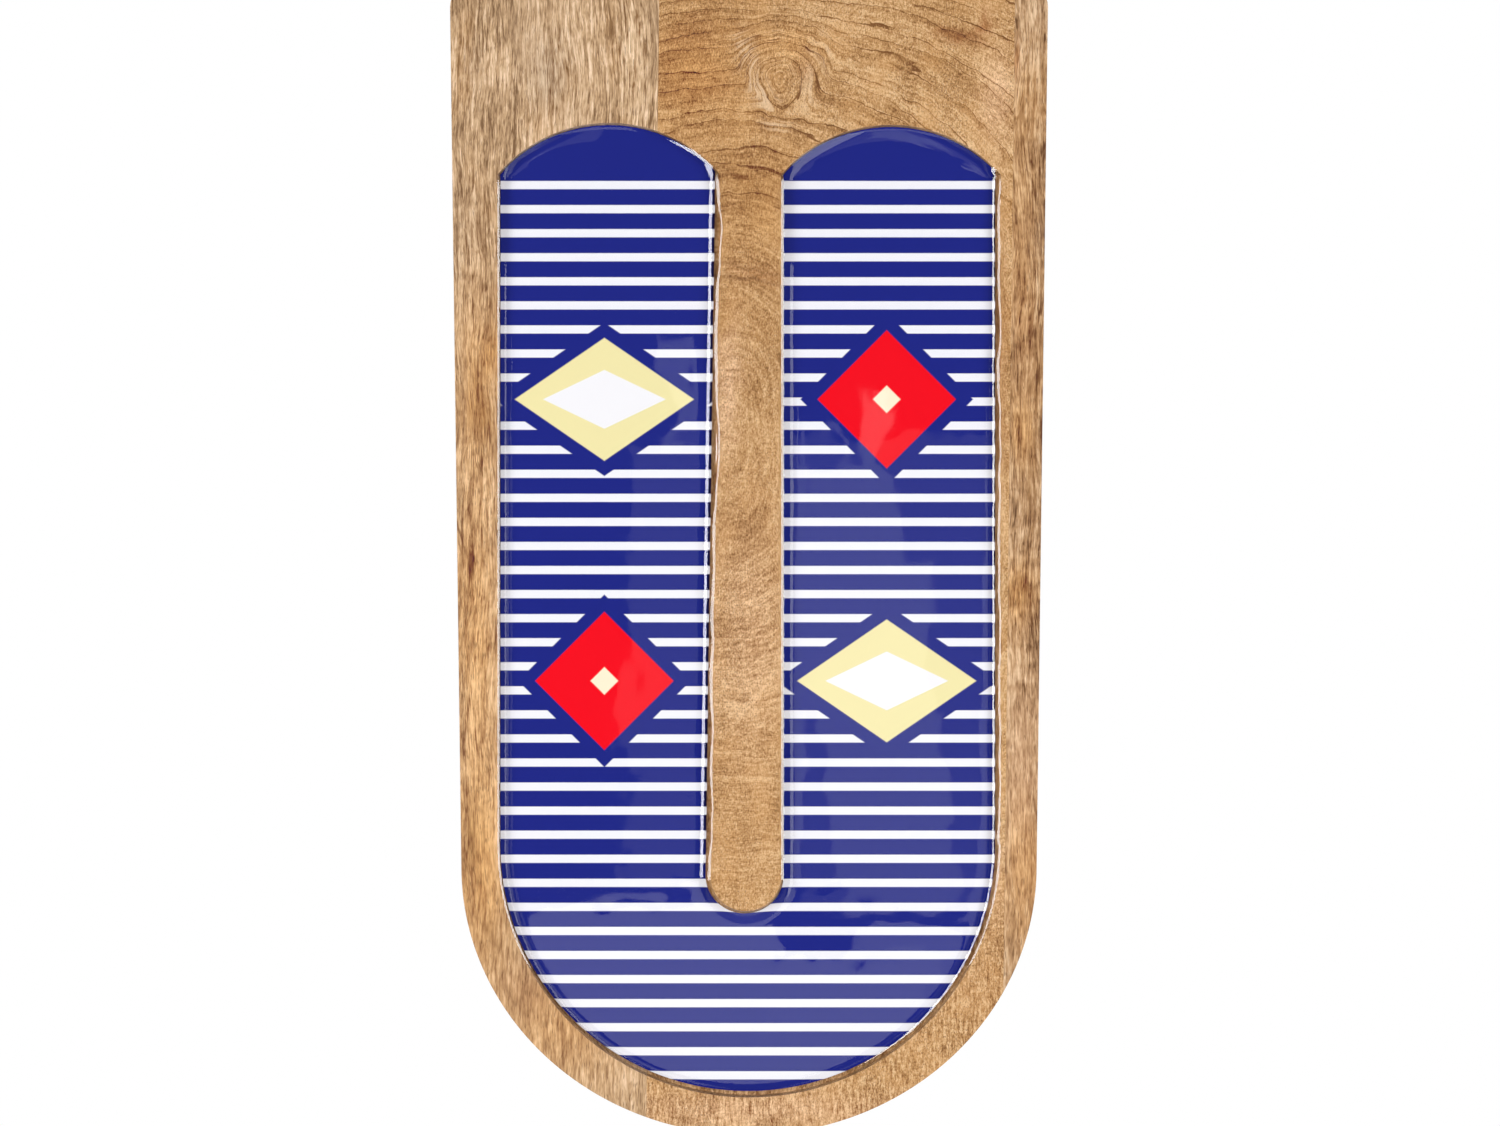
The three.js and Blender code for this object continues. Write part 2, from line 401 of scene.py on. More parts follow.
def ring(bm, points, y):
    """Adds a closed ring of edges at a depth and gives its edges."""
    verts = [bm.verts.new((x, y, z)) for x, z in points]
    return [bm.edges.new((verts[i - 1], verts[i])) for i in range(len(verts))]


def fill(bm, edges, normal):
    """Fills rings, one inside the other, with flat faces."""
    bmesh.ops.triangle_fill(bm, use_beauty=True, use_dissolve=False, edges=edges, normal=normal)


def draw_down(bm, edges, depth):
    """Extrudes a ring along y and gives the new ring's edges."""
    made = bmesh.ops.extrude_edge_only(bm, edges=edges)["geom"]
    verts = [g for g in made if isinstance(g, bmesh.types.BMVert)]
    bmesh.ops.translate(bm, verts=verts, vec=(0, depth, 0))
    new = set(verts)
    return [g for g in made if isinstance(g, bmesh.types.BMEdge) and set(g.verts) <= new]


def round_edges(bm, edges, radius, segments):
    """Rounds sharp edges."""
    bmesh.ops.bevel(
        bm, geom=edges, offset=radius, offset_type="OFFSET", segments=segments, profile=0.5,
        affect="EDGES", clamp_overlap=True, material=-1,
    )


def add_object(name, data):
    """Puts a new object in the scene."""
    made = bpy.data.objects.new(name, data)
    bpy.context.scene.collection.objects.link(made)
    return made


def add_mesh(name, bm, material):
    """Makes an object of one material."""
    mesh = bpy.data.meshes.new(name)
    bm.to_mesh(mesh)
    bm.free()
    mesh.materials.append(material)
    return add_object(name, mesh)


def add_piece(name, bm, material, node, slot_name, smooth_angle):
    """Makes the piece's object, shades it, and ties it to the frame."""
    piece = add_mesh(name, bm, material)
    for polygon in piece.data.polygons:
        polygon.use_smooth = True
    piece.data.set_sharp_from_angle(angle=smooth_angle)
    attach(piece, BODY)
    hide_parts(node)
    return piece


def weight_normals(piece):
    """Keeps broad flat faces flat beside their rounded edges."""
    weighted = piece.modifiers.new("flat faces", "WEIGHTED_NORMAL")
    weighted.mode = "FACE_AREA"
    weighted.keep_sharp = True


# Material graphs

class Graph:
    """Short calls for the nodes of a material or world. Values are numbers, colours or sockets."""

    def __init__(self, owner, output="OutputMaterial"):
        owner.use_nodes = True
        self.owner = owner
        self.tree = owner.node_tree
        self.tree.nodes.clear()
        self.output = self.node(output)

    def node(self, kind, inputs=(), **settings):
        """A node with its settings and inputs. The inputs are a row, or go by name or number."""
        node = self.tree.nodes.new("ShaderNode" + kind)
        for name, value in settings.items():
            setattr(node, name, value)
        for key, value in inputs.items() if isinstance(inputs, dict) else enumerate(inputs):
            self.set(node.inputs[key], value)
        return node

    def set(self, socket, value):
        """Links a socket or sets its default."""
        if isinstance(value, bpy.types.NodeSocket):
            self.tree.links.new(value, socket)
        elif isinstance(value, (int, float)):
            socket.default_value = value
        else:
            alpha = [1.0] * (len(socket.default_value) - len(value))
            socket.default_value = [*value, *alpha]

    def show(self, shader):
        """Makes a shader the surface and gives its owner."""
        self.set(self.output.inputs["Surface"], shader.outputs[0])
        return self.owner

    def math(self, operation, *values):
        """One Math node."""
        return self.node("Math", values, operation=operation).outputs[0]

    def add(self, a, b):
        """A sum."""
        return self.math("ADD", a, b)

    def sub(self, a, b):
        """A difference."""
        return self.math("SUBTRACT", a, b)

    def mul(self, a, b):
        """A product."""
        return self.math("MULTIPLY", a, b)

    def mul_add(self, a, factor, start):
        """A product added to a start."""
        return self.math("MULTIPLY_ADD", a, factor, start)

    def hypotenuse(self, a, b):
        """Length of the long side of a right triangle."""
        return self.math("SQRT", self.add(self.mul(a, a), self.mul(b, b)))

    def off_middle(self, value):
        """How far a noise or a share is from its middle."""
        return self.math("ABSOLUTE", self.sub(value, 0.5))

    def split(self, vector):
        """The three numbers of a vector."""
        return self.node("SeparateXYZ", (vector,)).outputs

    def place_mm(self):
        """The place on the piece in millimetres, as x, depth behind the face, and z."""
        place = self.node("TexCoord").outputs["Object"]
        change = {"Vector": place, "Location": (0, -FACE_Y / MM, 0), "Scale": [1 / MM] * 3}
        return self.split(self.node("Mapping", change).outputs[0])

    def combine(self, x, y, z):
        """A vector from three numbers."""
        return self.node("CombineXYZ", (x, y, z)).outputs[0]

    def noise(self, x, y, z, detail=2.0, rough=0.5):
        """Noise about 0.5 at a place that is already scaled."""
        place = self.combine(x, y, z)
        inputs = {"Vector": place, "Scale": 1.0, "Detail": detail, "Roughness": rough}
        return self.node("TexNoise", inputs).outputs["Fac"]

    def grain(self, axes, rates, detail=2.0, rough=0.5, shift=0.0):
        """Noise that changes at its own rate along each axis. The shift moves it in depth."""
        x, y, z = (self.mul(axis, rate) for axis, rate in zip(axes, rates))
        return self.noise(x, self.add(y, shift), z, detail, rough)

    def steps(self, value, low, high, out_low=0.0, out_high=1.0, smooth=True):
        """Maps a range of values onto another, held at its ends."""
        values = (value, low, high, out_low, out_high)
        kind = "SMOOTHSTEP" if smooth else "LINEAR"
        return self.node("MapRange", values, interpolation_type=kind).outputs[0]

    def mix(self, share, a, b, blend="MIX"):
        """Mixes two colours."""
        inputs = {0: share, 6: a, 7: b}
        return self.node("Mix", inputs, data_type="RGBA", blend_type=blend).outputs[2]

    def ramp(self, tone, colours):
        """Runs through colours, evenly spaced, as the tone goes from 0 to 1."""
        node = self.node("ValToRGB", (tone,))
        elements = node.color_ramp.elements
        while len(elements) < len(colours):
            elements.new(0.5)
        for index, value in enumerate(colours):
            elements[index].position = index / (len(colours) - 1)
            elements[index].color = (*value, 1.0)
        return node.outputs[0]

    def blob(self, x, z, centre, radii, lean=0.0):
        """1 at a spot, fading to 0 round it."""
        cosine, sine = math.cos(math.radians(lean)), math.sin(math.radians(lean))
        dx = self.sub(x, centre[0])
        dz = self.sub(z, centre[1])
        along = self.add(self.mul(dx, cosine / radii[0]), self.mul(dz, sine / radii[0]))
        across = self.sub(self.mul(dz, cosine / radii[1]), self.mul(dx, sine / radii[1]))
        squared = self.add(self.mul(along, along), self.mul(across, across))
        return self.math("EXPONENT", self.mul(squared, -1.0))

    def finish(self, colour, roughness, height=None, height_size=0.0, specular=0.5):
        """A plain surface with an optional relief."""
        inputs = {"Base Color": colour, "Roughness": roughness, "Specular IOR Level": specular}
        if height is not None:
            relief = {"Strength": 1.0, "Distance": height_size, "Height": height}
            inputs["Normal"] = self.node("Bump", relief).outputs[0]
        return self.show(self.node("BsdfPrincipled", inputs))


def material_graph(name):
    """The nodes of a new material."""
    return Graph(bpy.data.materials.new(name))


# Wood: places and sizes are in millimetres, and rates are for each millimetre

# How far the grain lightens or darkens a stain's red, green and blue: a factor of the tone and
# an offset for each
GRAIN_OF_TONE = ((1.1, 0.43), (1.45, 0.25), (1.8, 0.06))

# Pores: rates at which crowds of them come and go, the noise of few and of many with the limit
# above which wood is a pore there, their soft edge, their depth, and the roughness in them and
# beside them
PORE_CROWDS = (0.07, 0.07, 0.03)
PORE_LIMITS = (0.3, 0.7, 0.68, 0.56)
PORE_EDGE = 0.09
PORE_DEPTH = 0.05 * MM
PORE_ROUGHNESS = (0.7, 0.56)
WOOD_SPECULAR = 0.35

# Size of a pore, how crowded the pores are and how dark
FLAT_PORES = ((0.4, 0.4, 0.9), 0.03, 0.6)
UPRIGHT_PORES = ((0.4, 0.4, 4), 0.02, 0.55)

# What bends the rings of the centre stave: rates, detail, and the push sideways and up
BENDS = {
    "drift": ((0.022, 0.02, 0.018), 1, 12, -9),
    "ripple": ((0.11, 0.08, 0.09), 2, 3, 4),
    "jitter": ((0.45, 0.4, 0.4), 1, 0, 0.9),
}

# The rings' centre: x, the height where it comes nearest to the face, its depth there, and how
# fast it falls away above and below
PITH_X = -8
PITH_HEIGHT = 46
PITH_DEPTH = 20
PITH_FALL = 0.0047

# The knot: place, radii, lean in degrees, size of its heart, squeeze sideways, the heights
# between which its squeeze up and down changes and that squeeze below and above them, how softly
# the rings join it, and its contrast
KNOT_PLACE = (13.2, 186.5)
KNOT_RADII = (13, 18)
KNOT_LEAN = 8
KNOT_HEART = 82
KNOT_SQUEEZE = 2.2
KNOT_HALVES = (-3, 3, 1.35, 2.5)
KNOT_BLEND = 7
KNOT_CONTRAST = 0.9

# Layers of noise in a wood's tone: rates, detail, roughness, shift in depth and weight. The
# first three follow the rings.
RING_LAYERS = {
    "bands": ((0.085, 0.012, 0.012), 2, 0.5, 0, 0.5),
    "growth": ((0.4, 0.02, 0.02), 2, 0.6, 0, 0.6),
    "threads": ((1.5, 0.1, 0.1), 2, 0.5, 0, 0.85),
}
FLAT_LAYERS = {
    "fibres": ((1.7, 1.7, 0.95), 3, 0.65, 0, 1.9),
    "flecks": ((0.75, 0.75, 0.4), 2, 0.6, 0, 0.9),
    "mottle": ((0.26, 0.2, 0.24), 2, 0.6, 0, 0.6),
    "patches": ((0.035, 0.02, 0.03), 2, 0.5, 7.3, 0.35),
    "clouds": ((0.09, 0.05, 0.07), 2, 0.5, 2.3, 0.4),
}
FOOT_LAYERS = {"dashes": ((0.95, 0.95, 0.17), 2, 0.6, 0, 1.9)}
UPRIGHT_LAYERS = {
    "broad": ((0.09, 0.05, 0.009), 2, 0.5, 0, 0.7),
    "streaks": ((0.36, 0.3, 0.018), 2, 0.6, 0, 0.45),
    "strands": ((0.85, 0.7, 0.036), 2, 0.6, 0, 0.9),
    "fibres": ((1.7, 1.4, 0.15), 3, 0.65, 0, 1.6),
    "flecks": ((0.5, 0.5, 0.28), 2, 0.6, 3.1, 0.4),
}
CLOUD_LAYERS = {"clouds": ((0.07, 0.05, 0.05), 2, 0.5, 0, 0.45)}
CURL_LAYERS = {"ripples": ((0.06, 0.06, 0.24), 1, 0.5, 1.3, 1)}
CALM_LAYERS = {"dashes": ((0.95, 0.95, 0.15), 2, 0.6, 0, 2.4)}

# Heights between which the rings give way to the foot's dashes, how much of them is lost there,
# and heights between which the top's clear year lines start
FOOT_HEIGHTS = (-110, -160)
RINGS_LOST = 0.75
TOP_HEIGHTS = (118, 160)

# Mean tone of the centre stave, from one x to another: its left part, what is added further
# right, and what is added at the top
LEFT_LEVEL = (-40, 10, 0.49, 0.565)
RIGHT_LEVEL = (10, 100, 0, 0.03)
TOP_LEVEL = (-20, 30, -0.03, 0.06)

# Year lines: their rate, how far the bands shift them, and for late wood and for the thin line
# after it, where in the year it rises and falls and its depth of tone. A slow noise breaks them.
YEAR_RATE = 0.11
YEAR_SHIFT = 2.6
YEAR_LINES = (
    ((0.35, 0.97), (1, 0.975), 0.14),
    ((0.9, 0.965), (1, 0.98), 0.6),
)
YEAR_BREAKS = (0.06, 0.06, 0.06)
YEAR_SHOWN = (0.31, 0.47)
YEAR_SHARE_BELOW = 0.1

# Pale rays on the tongue: place, radii, slant, rates along and across, seed, width and weight
RAY_PLACE = (0, -38)
RAY_RADII = (24, 44)
RAY_SLANT = 0.9
RAY_RATES = (0.16, 0.03)
RAY_SEED = 4.1
RAY_WIDTH = 0.03
RAY_WEIGHT = 0.26

# How far the ripple frays the stains of the centre stave sideways and up, the noise at which its
# clouds turn gold and their share, and the noise at which growth turns cream round the knot
STAIN_FRAY = (14, -10)
GOLD_CLOUDS = (0.42, 0.7)
GOLD_SHARE = 0.55
CREAM_GROWTH = (0.46, 0.58)

# Grain of the outer staves: seed, contrast, weight of the level ripples across it, and the height
# below which it is calm
STRAIGHT_GRAIN = (2.7, 1.15, 0, -112)
STREAKED_GRAIN = (11.4, 1.1, 0.4, -55)

# Its mean tone, the tone and the share of contrast where it is calm, and half the height over
# which it calms down
UPRIGHT_LEVEL = 0.54
CALM_LEVEL = 0.52
CALM_SHARE = 0.45
CALM_BLEND = 30

# How it wanders, as rates and push, and how far its strands fray the stains
WANDER_RATES = (0.03, 0, 0.016)
WANDER_PUSH = 9
STRAND_FRAY = 10

# How its hue changes: rates and shift, the noise that is grey and gold, the share of grey at two
# heights and the share of gold
HUE_RATES = (0.05, 0, 0.02)
HUE_SHIFT = 5.7
GREY_HUES = (0.52, 0.72)
GREY_HEIGHTS = (60, 120, 0.15, 0.5)
GOLD_HUES = (0.48, 0.28)
GOLD_HUE_SHARE = 0.5

# Thin dark grooves of the upright grain: rates across and along it, half their width as noise,
# and their depth of tone
GROOVES = (
    (0.42, 0.022, 0.030, 0.34),
    (0.75, 0.045, 0.045, 0.26),
    (1.30, 0.090, 0.070, 0.20),
)

# Stains: tint, place, radii, lean in degrees and share
FLAT_STAINS = (
    ("russet", (-23, 203), (13, 6), 6, 0.45),
    ("russet", (-21, 184.5), (15, 5.5), 14, 0.50),
    ("russet", (-26, 193), (9, 14), 0, 0.25),
    ("gold", (16, 200), (13, 6), 0, 0.45),
    ("gold", (-22, 190), (18, 22), 0, 0.60),
    ("gold", (3, 140), (14, 22), 0, 0.50),
    ("umber", (0, 141), (14, 20), 0, 0.34),
    ("umber", (0, 70), (14, 40), 0, 0.10),
    ("umber", (0, 10), (24, 135), 0, 0.16),
    ("umber", (97, 60), (7, 90), 0, 0.16),
    ("russet", (20.5, 192), (4.5, 5.5), 0, 0.35),
    ("rose", (97, 180), (7, 16), 0, 0.50),
    ("rose", (0, -216), (60, 8), 0, 0.50),
    ("russet", (4, 110.5), (14, 3.2), -12, 0.40),
    ("flat_dark", (0, 112.8), (13, 0.9), -14, 0.50),
    ("flat_dark", (1, 108.6), (15, 0.8), -9, 0.55),
    ("rose", (-8, 66), (4.5, 24), -4, 0.60),
    ("rose", (0, -30), (15, 45), 0, 0.35),
    ("russet", (97, 80), (4.5, 60), 0, 0.35),
    ("rose", (96, -122), (5, 22), 0, 0.35),
    ("russet", (82, -160), (16, 26), 40, 0.16),
    ("russet", (82, 203), (8, 2.4), -10, 0.80),
    ("russet", (91, 207.5), (2.4, 6.5), -24, 0.80),
)
STRAIGHT_STAINS = (
    ("grey", (-77.5, 188), (8, 16), 0, 0.75),
    ("grey", (-108, 192), (4, 10), 0, 0.35),
    ("cream", (-45, 195), (4, 22), 0, 0.45),
    ("grey", (-108, 122), (7, 20), 0, 0.35),
    ("gold", (-101, 80), (4, 9), 0, 0.70),
    ("umber", (-104.5, 56), (6, 11), 12, 0.75),
    ("umber", (-107, 70), (2.2, 16), 12, 0.50),
    ("gold", (-106, -30), (9, 66), 0, 0.70),
    ("gold", (-106, 66), (9, 50), 0, 0.50),
    ("gold", (-70, -180), (30, 26), 35, 0.60),
    ("gold", (-104, -120), (12, 48), 0, 0.85),
    ("umber", (-108, -108), (3, 14), -3, 0.70),
    ("umber", (-101, -146), (4, 9), 20, 0.45),
    ("russet", (-86, -168), (10, 12), 35, 0.35),
)
STREAKED_STAINS = (
    ("russet", (104, 194), (1.8, 9), 0, 0.75),
    ("russet", (107, 92), (5, 26), 0, 0.40),
    ("gold", (107, 48), (5, 14), 0, 0.60),
    ("umber", (110, 24), (1.6, 22), -4, 0.55),
    ("gold", (105, -14), (7, 12), 0, 0.70),
    ("umber", (104, -16), (5, 5), 0, 0.30),
    ("umber", (109, 75), (10, 85), 0, 0.22),
    ("gold", (106, 130), (8, 60), 0, 0.35),
    ("rose", (107, -90), (7, 40), 0, 0.50),
    ("gold", (107, -122), (8, 26), 0, 0.55),
)

# Pale wood that flows round the knot: place, radii, lean in degrees and share
CREAM_FLOWS = (
    ((-1, 196), (3.4, 9), 14, 0.8),
    ((4, 182), (3.4, 8), 16, 0.9),
    ((10.5, 172), (4.5, 6), 16, 0.8),
    ((23.5, 186), (2.6, 11), -8, 0.55),
    ((30, 197), (2, 7), 8, 0.55),
)


def layered(g, tone, axes, layers, strength=1.0, seed=0.0):
    """Adds layers of noise to a tone. Gives the tone and each layer's noise by name."""
    fields = {}
    for name, (rates, detail, rough, shift, weight) in layers.items():
        fields[name] = g.grain(axes, rates, detail, rough, seed + shift)
        tone = g.mul_add(g.sub(fields[name], 0.5), g.mul(weight, strength), tone)
    return tone, fields


def stain(g, wood, base, tone, x, z, stains):
    """Tints spots of the wood and lets its grain show through, with darker grain warmer."""
    grain = g.combine(*(g.mul_add(tone, *line) for line in GRAIN_OF_TONE))
    for tint, place, radii, lean, share in stains:
        grained = g.mix(1.0, getattr(wood, tint), grain, "MULTIPLY")
        base = g.mix(g.mul(g.blob(x, z, place, radii, lean), share), base, grained)
    return base


def tinge(g, base, share, tint):
    """Shifts a colour halfway to a tint, by a share."""
    return g.mix(share, base, g.mix(0.5, base, tint))


def finish_wood(g, wood, base, axes, size, density, darkness):
    """Darkens the open pores, sinks them into the surface and gives the wood its satin."""
    ends = (g.math("DIVIDE", axis, extent) for axis, extent in zip(axes, size))
    speck = g.noise(*ends, 1.0)
    crowd = g.grain(axes, PORE_CROWDS, 1.0)
    limit = g.sub(g.steps(crowd, *PORE_LIMITS, False), density)
    pore = g.steps(speck, limit, g.add(limit, PORE_EDGE))
    base = g.mix(g.mul(pore, darkness), base, wood.pore)
    height = g.sub(1.0, pore)
    roughness = g.steps(height, 0.0, 1.0, *PORE_ROUGHNESS, False)
    return g.finish(base, roughness, height, PORE_DEPTH, WOOD_SPECULAR)


def knotted_rings(g, x, depth, z):
    """Distance from the rings' centre, drawn together round the knot."""
    rise = g.sub(z, PITH_HEIGHT)
    pith_depth = g.add(g.add(depth, PITH_DEPTH), g.mul(g.mul(rise, rise), PITH_FALL))
    ring = g.hypotenuse(g.sub(x, PITH_X), pith_depth)
    knot_x = g.mul(g.sub(x, KNOT_PLACE[0]), KNOT_SQUEEZE)
    knot_z = g.sub(z, KNOT_PLACE[1])
    knot_z = g.mul(knot_z, g.steps(knot_z, *KNOT_HALVES))
    knot = g.hypotenuse(knot_x, knot_z)
    return g.math("SMOOTH_MIN", ring, g.add(knot, KNOT_HEART), KNOT_BLEND)


def year_lines(g, place, ring, bands, top):
    """Dark lines at the end of each year's growth, broken here and there."""
    year = g.math("FRACT", g.add(g.mul(ring, YEAR_RATE), g.mul(g.sub(bands, 0.5), YEAR_SHIFT)))
    lines = 0.0
    for rise, fall, depth in YEAR_LINES:
        line = g.mul(g.steps(year, *rise), g.steps(year, *fall))
        lines = g.mul_add(line, depth, lines)
    broken = g.grain(place, YEAR_BREAKS, 1.0)
    share = g.mul_add(top, 1 - YEAR_SHARE_BELOW, YEAR_SHARE_BELOW)
    return g.mul(g.mul(g.steps(broken, *YEAR_SHOWN), share), lines)


def slanting_rays(g, x, z, bent_x):
    """Pale rays that cross the tongue at a slant."""
    along = g.mul(g.sub(z, g.mul(bent_x, RAY_SLANT)), RAY_RATES[0])
    rays = g.noise(along, g.mul(x, RAY_RATES[1]), RAY_SEED, 1.0)
    ray = g.steps(g.off_middle(rays), RAY_WIDTH, 0.0)
    return g.mul(g.mul(ray, RAY_WEIGHT), g.blob(x, z, RAY_PLACE, RAY_RADII))


def flat_sawn_wood(wood):
    """Rings that meet the face at a slant: arches above, long ovals on the tongue, one knot."""
    g = material_graph("flat-sawn grain")
    x, y, z = place = g.place_mm()
    bends = {}
    bent_x, bent_z = x, z
    for name, (rates, detail, sideways, up) in BENDS.items():
        bends[name] = g.sub(g.grain(place, rates, detail), 0.5)
        bent_x = g.mul_add(bends[name], sideways, bent_x)
        bent_z = g.mul_add(bends[name], up, bent_z)
    ring = knotted_rings(g, bent_x, y, bent_z)

    foot = g.steps(z, *FOOT_HEIGHTS)
    top = g.steps(z, *TOP_HEIGHTS)
    level = g.add(g.steps(x, *LEFT_LEVEL), g.steps(x, *RIGHT_LEVEL))
    tone = g.mul_add(top, g.steps(x, *TOP_LEVEL), level)
    rings_share = g.sub(1.0, g.mul(foot, RINGS_LOST))
    tone, ring_fields = layered(g, tone, (ring, x, z), RING_LAYERS, rings_share)
    tone, fields = layered(g, tone, place, FLAT_LAYERS)
    tone, _ = layered(g, tone, place, FOOT_LAYERS, foot)
    growth = ring_fields["growth"]
    around = g.blob(bent_x, bent_z, KNOT_PLACE, KNOT_RADII, KNOT_LEAN)
    tone = g.mul_add(g.mul(around, g.sub(growth, 0.5)), KNOT_CONTRAST, tone)
    tone = g.sub(tone, year_lines(g, place, ring, ring_fields["bands"], top))
    tone = g.add(tone, slanting_rays(g, x, z, bent_x))

    base = g.ramp(tone, (wood.flat_dark, wood.flat_mid, wood.flat_light))
    base = tinge(g, base, g.mul(g.steps(fields["clouds"], *GOLD_CLOUDS), GOLD_SHARE), wood.gold)
    frayed_x = g.mul_add(bends["ripple"], STAIN_FRAY[0], x)
    frayed_z = g.mul_add(bends["ripple"], STAIN_FRAY[1], z)
    base = stain(g, wood, base, tone, frayed_x, frayed_z, FLAT_STAINS)
    flow = g.steps(growth, *CREAM_GROWTH)
    for centre, radii, lean, share in CREAM_FLOWS:
        shown = g.mul(g.blob(frayed_x, frayed_z, centre, radii, lean), g.mul(flow, share))
        base = g.mix(shown, base, wood.cream)
    return finish_wood(g, wood, base, place, *FLAT_PORES)


def grooves(g, axes, seed):
    """Depth of tone of the thin dark grooves."""
    depth = 0.0
    for across, along, width, weight in GROOVES:
        field = g.grain(axes, (across, across, along), 1.0, shift=seed + along)
        groove = g.steps(g.off_middle(field), width, width * 0.3)
        shown = g.grain(axes, (0.3, 0.3, along * 3.0), 1.0, shift=seed + across)
        depth = g.mul_add(g.mul(groove, g.steps(shown, 0.42, 0.6)), weight, depth)
    return depth


def upright_wood(wood, kind, stains, seed, contrast, curl, calm):
    """Upright fibres in bands of colour, with long pores. Below the height calm the grain is
    weaker and has short dashes."""
    g = material_graph(kind + " grain")
    x, y, z = place = g.place_mm()
    wander = g.sub(g.grain(place, WANDER_RATES, shift=seed), 0.5)
    bent = (g.mul_add(wander, WANDER_PUSH, x), y, z)
    tone, fields = layered(g, UPRIGHT_LEVEL, bent, UPRIGHT_LAYERS, contrast, seed)
    tone, _ = layered(g, tone, place, CLOUD_LAYERS, contrast, seed)
    tone, _ = layered(g, tone, place, CURL_LAYERS, curl, seed)
    tone = g.sub(tone, g.mul(grooves(g, bent, seed), contrast))
    lively = g.steps(z, calm - CALM_BLEND, calm + CALM_BLEND, CALM_SHARE, 1.0)
    tone = g.mul_add(g.sub(tone, CALM_LEVEL), lively, CALM_LEVEL)
    tone, _ = layered(g, tone, place, CALM_LAYERS, g.sub(1.0, lively), seed)

    base = g.ramp(tone, [getattr(wood, kind + shade) for shade in ("_dark", "_mid", "_light")])
    hue = g.grain(bent, HUE_RATES, shift=seed + HUE_SHIFT)
    greyed = g.mul(g.steps(hue, *GREY_HUES), g.steps(z, *GREY_HEIGHTS))
    base = tinge(g, base, greyed, wood.grey)
    base = tinge(g, base, g.mul(g.steps(hue, *GOLD_HUES), GOLD_HUE_SHARE), wood.gold)
    ragged_x = g.mul_add(g.sub(fields["strands"], 0.5), STRAND_FRAY, x)
    base = stain(g, wood, base, tone, ragged_x, z, stains)
    return finish_wood(g, wood, base, bent, *UPRIGHT_PORES)


# Print

# Places of the print's lozenges in millimetres: the middle of each arm, and each arm's heights
LOZENGE_COLUMNS = (-56.5, 53.8)
YELLOW_HEIGHTS = (62.0, -48.0)
RED_HEIGHTS = (-48.0, 62.0)
TOP_STRIPE_HEIGHT = 150.0

# Half widths and heights of the lozenges, and shares of a lozenge's size: the clear ground round
# it, the red one's heart, and the blur of its edge
YELLOW_SIZE = (35.0, 24.0)
HEART_SIZE = (24.0, 11.5)
RED_SIZE = (27.0, 27.0)
CLEAR_SHARE = 1.25
RED_HEART_SHARE = 0.2
EDGE_BLUR = 0.015
INK_ROUGHNESS = 0.6

# Distance from the print's right-hand edges over which the shade fades, and the heights where
# it starts, in millimetres
SHADE_REACH = (1.5, 0.5)
SHADE_START = (-140.0, -100.0)


def print_ink(settings, board):
    """Level stripes on a blue ground, broken by a few lozenges down each arm, and a strip of
    shade where the meniscus of the right-hand walls darkens the ground."""
    g = material_graph("printed ink")
    x, y, z = g.place_mm()
    on_right = g.math("GREATER_THAN", x, 0.0)
    phase = g.math("FRACT", g.math("DIVIDE", z, settings.stripe_pitch / MM))
    half = settings.stripe_width / settings.stripe_pitch / 2
    stripe = g.steps(g.off_middle(phase), half + EDGE_BLUR, half - EDGE_BLUR)

    def by_arm(left, right):
        """The left arm's number to the left, and the right arm's to the right."""
        return g.mul_add(on_right, right - left, left)

    across = g.sub(x, by_arm(*LOZENGE_COLUMNS))

    def lozenge(height, half_width, half_height):
        """Below 1 inside a lozenge at this height."""
        sideways = g.math("DIVIDE", g.math("ABSOLUTE", across), half_width)
        upwards = g.math("DIVIDE", g.math("ABSOLUTE", g.sub(z, height)), half_height)
        return g.add(sideways, upwards)

    def inside(field, size):
        """1 inside a lozenge of this share of its full size."""
        return g.steps(field, size + EDGE_BLUR, size - EDGE_BLUR)

    yellow_height = by_arm(*YELLOW_HEIGHTS)
    yellow = lozenge(yellow_height, *YELLOW_SIZE)
    heart = lozenge(yellow_height, *HEART_SIZE)
    red = lozenge(by_arm(*RED_HEIGHTS), *RED_SIZE)
    clear = g.math("MAXIMUM", inside(yellow, CLEAR_SHARE), inside(red, CLEAR_SHARE))
    clear = g.math("MAXIMUM", clear, g.math("GREATER_THAN", z, TOP_STRIPE_HEIGHT))
    lean = (board.tongue_left_top - board.tongue_left_foot) / (board.shoulder - board.tongue_foot)
    left_edge = g.mul_add(g.sub(z, board.shoulder / MM), lean, board.tongue_left_top / MM)
    edge = g.add(left_edge, g.mul(on_right, g.sub(board.recess_half / MM, left_edge)))
    from_edge = g.sub(g.sub(edge, settings.right_gap / MM), x)
    shaded = g.mul(g.steps(from_edge, *SHADE_REACH), g.steps(z, *SHADE_START))
    ground = g.mix(shaded, settings.ground, settings.shade)
    base = g.mix(g.mul(stripe, g.sub(1.0, clear)), ground, settings.stripe)
    base = g.mix(inside(yellow, 1.0), base, settings.yellow)
    base = g.mix(inside(heart, 1.0), base, settings.white)
    base = g.mix(inside(red, 1.0), base, settings.red)
    base = g.mix(inside(red, RED_HEART_SHARE), base, settings.cream)
    return g.finish(base, INK_ROUGHNESS, specular=0.0)


def clear_resin(settings):
    """Clear glossy resin."""
    g = material_graph("clear poured resin")
    return g.show(g.node("BsdfPrincipled", {
        "Base Color": (1, 1, 1),
        "Roughness": settings.roughness,
        "IOR": settings.ior,
        "Transmission Weight": 1.0,
    }))


# Pieces

